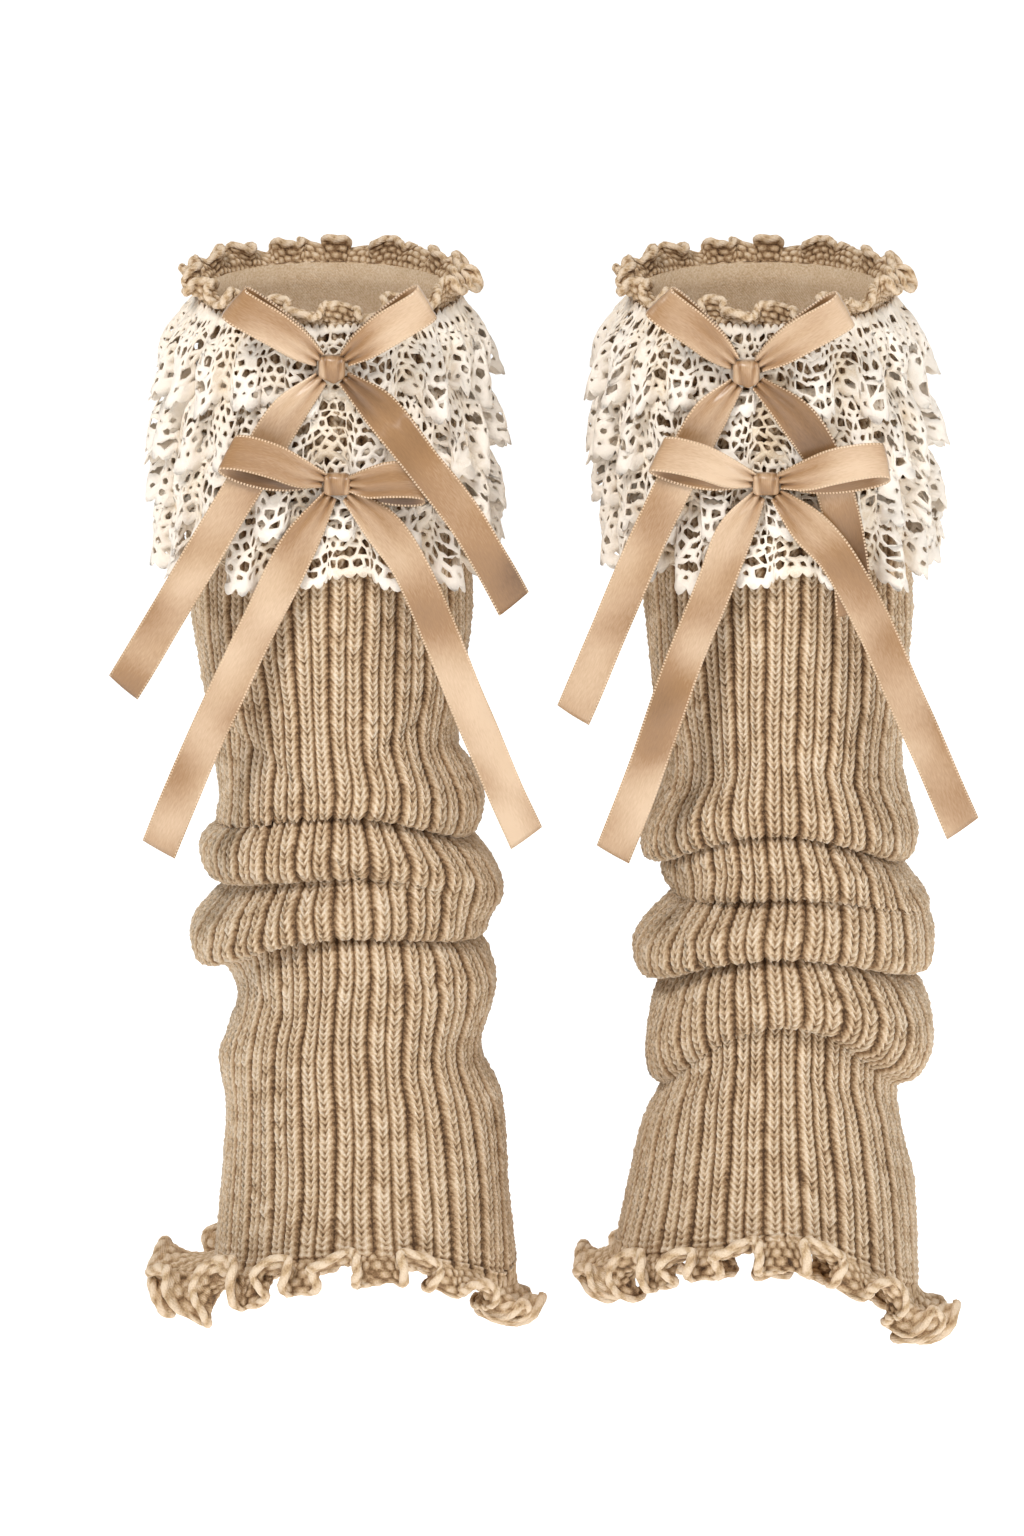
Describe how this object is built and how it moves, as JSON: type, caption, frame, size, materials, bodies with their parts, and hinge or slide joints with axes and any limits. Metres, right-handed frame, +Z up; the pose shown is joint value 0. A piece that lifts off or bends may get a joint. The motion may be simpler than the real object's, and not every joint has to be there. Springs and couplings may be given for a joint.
{
  "type": "pair of leg warmers",
  "caption": "Slouched rib-knit tubes worn from calf to boot, with crocheted frills, tiers of cotton lace and satin ribbon bows; hollow and open at both ends.",
  "frame": {"origin": "midway between the axes of the two calves, at the height where the upper edges grip them", "axes": "+Z up along the legs, -Y is the front with the bows, +X to the right as seen from the front"},
  "size_m": [0.3516, 0.1704, 0.4543],
  "materials": {
    "knit": "rib-knit cotton blend, soft and matt",
    "crochet": "crocheted cotton yarn, matt",
    "lace": "cotton lace, matt cream white",
    "ribbon": "satin ribbon, soft sheen"
  },
  "bodies": {
    "root": {"left_knit_tube": "knit", "left_top_frill": "crochet", "left_hem_frill": "crochet", "left_lace_tier_1": "lace", "left_lace_tier_2": "lace", "left_lace_tier_3": "lace", "left_lace_tier_4": "lace", "left_upper_bow_knot": "ribbon", "left_upper_bow_left_loop": "ribbon", "left_upper_bow_right_loop": "ribbon", "left_upper_bow_left_tail": "ribbon", "left_upper_bow_right_tail": "ribbon", "left_lower_bow_knot": "ribbon", "left_lower_bow_left_loop": "ribbon", "left_lower_bow_right_loop": "ribbon", "left_lower_bow_left_tail": "ribbon", "left_lower_bow_right_tail": "ribbon", "right_knit_tube": "knit", "right_top_frill": "crochet", "right_hem_frill": "crochet", "right_lace_tier_1": "lace", "right_lace_tier_2": "lace", "right_lace_tier_3": "lace", "right_lace_tier_4": "lace", "right_upper_bow_knot": "ribbon", "right_upper_bow_left_loop": "ribbon", "right_upper_bow_right_loop": "ribbon", "right_upper_bow_left_tail": "ribbon", "right_upper_bow_right_tail": "ribbon", "right_lower_bow_knot": "ribbon", "right_lower_bow_left_loop": "ribbon", "right_lower_bow_right_loop": "ribbon", "right_lower_bow_left_tail": "ribbon", "right_lower_bow_right_tail": "ribbon"}
  },
  "joints": []
}
